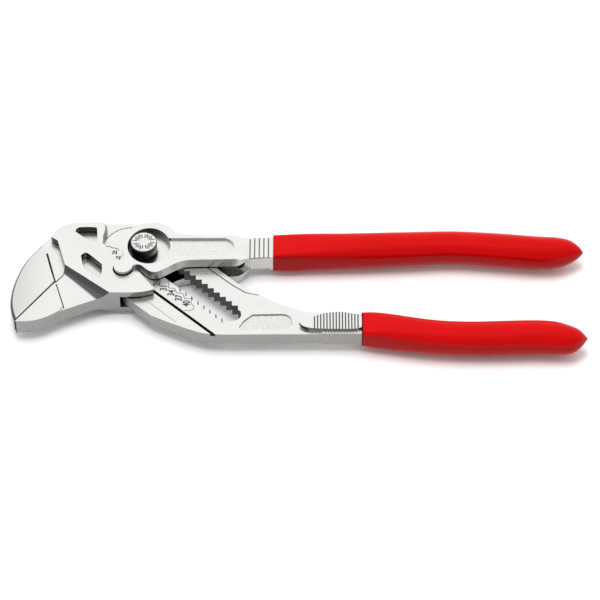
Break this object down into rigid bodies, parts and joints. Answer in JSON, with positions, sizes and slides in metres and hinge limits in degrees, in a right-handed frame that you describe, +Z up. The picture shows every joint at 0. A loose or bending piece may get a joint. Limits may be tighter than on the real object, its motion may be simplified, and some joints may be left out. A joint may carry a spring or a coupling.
{
  "type": "tongue and groove pliers",
  "caption": "Slip-adjusting pliers wrench: smooth parallel jaws, a toothed slot with a push-button hinge bolt, and two dipped plastic handles.",
  "frame": {"origin": "centre of the overall outline in plan, at the height of the flat rear face of the lever boss", "axes": "+X along the handles from the jaws to the grip ends, +Y from the lower handle to the upper one, +Z up through the push button"},
  "size_m": [0.1798, 0.0508, 0.0137],
  "materials": {
    "chrome_forging": "satin chrome plate over a forging",
    "red_dip": "glossy red dipped vinyl",
    "bolt_steel": "turned steel, slightly dark",
    "button_steel": "satin chrome plate",
    "spring_steel": "plain spring steel"
  },
  "bodies": {
    "handle": {"slotted_handle": "chrome_forging", "lower_grip": "red_dip"},
    "carrier": {"spring_seat": "spring_steel", "button_spring": "spring_steel"},
    "lever": {"lever_handle": "chrome_forging", "upper_grip": "red_dip"},
    "bolt": {"hinge_bolt": "bolt_steel", "push_button": "button_steel", "retaining_ring": "spring_steel"},
    "jaw": {"sliding_jaw": "chrome_forging"}
  },
  "joints": [
    {"name": "size_adjust", "type": "slide", "parent": "handle", "child": "carrier", "axis": [0.7314, -0.682, 0], "range_m": [0, 0.03132]},
    {"name": "handle_swing", "type": "hinge", "parent": "carrier", "child": "lever", "pos_m": [-0.0488, 0.01296, 0.006], "axis": [0, 0, 1], "range_deg": [0, 25]},
    {"name": "button_press", "type": "slide", "parent": "carrier", "child": "bolt", "axis": [0, 0, -1], "range_m": [0, 0.00135], "stiffness_N_per_m": 2000, "springref_m": -0.001, "deforming": ["button_spring"]},
    {"name": "jaw_slide", "type": "slide", "parent": "carrier", "child": "jaw", "axis": [0.7314, -0.682, 0], "range_m": [0, 0.0046]}
  ],
  "couplings": [
    {"joint": "jaw_slide", "follows": "handle_swing", "m_per_rad": 0.0103}
  ]
}
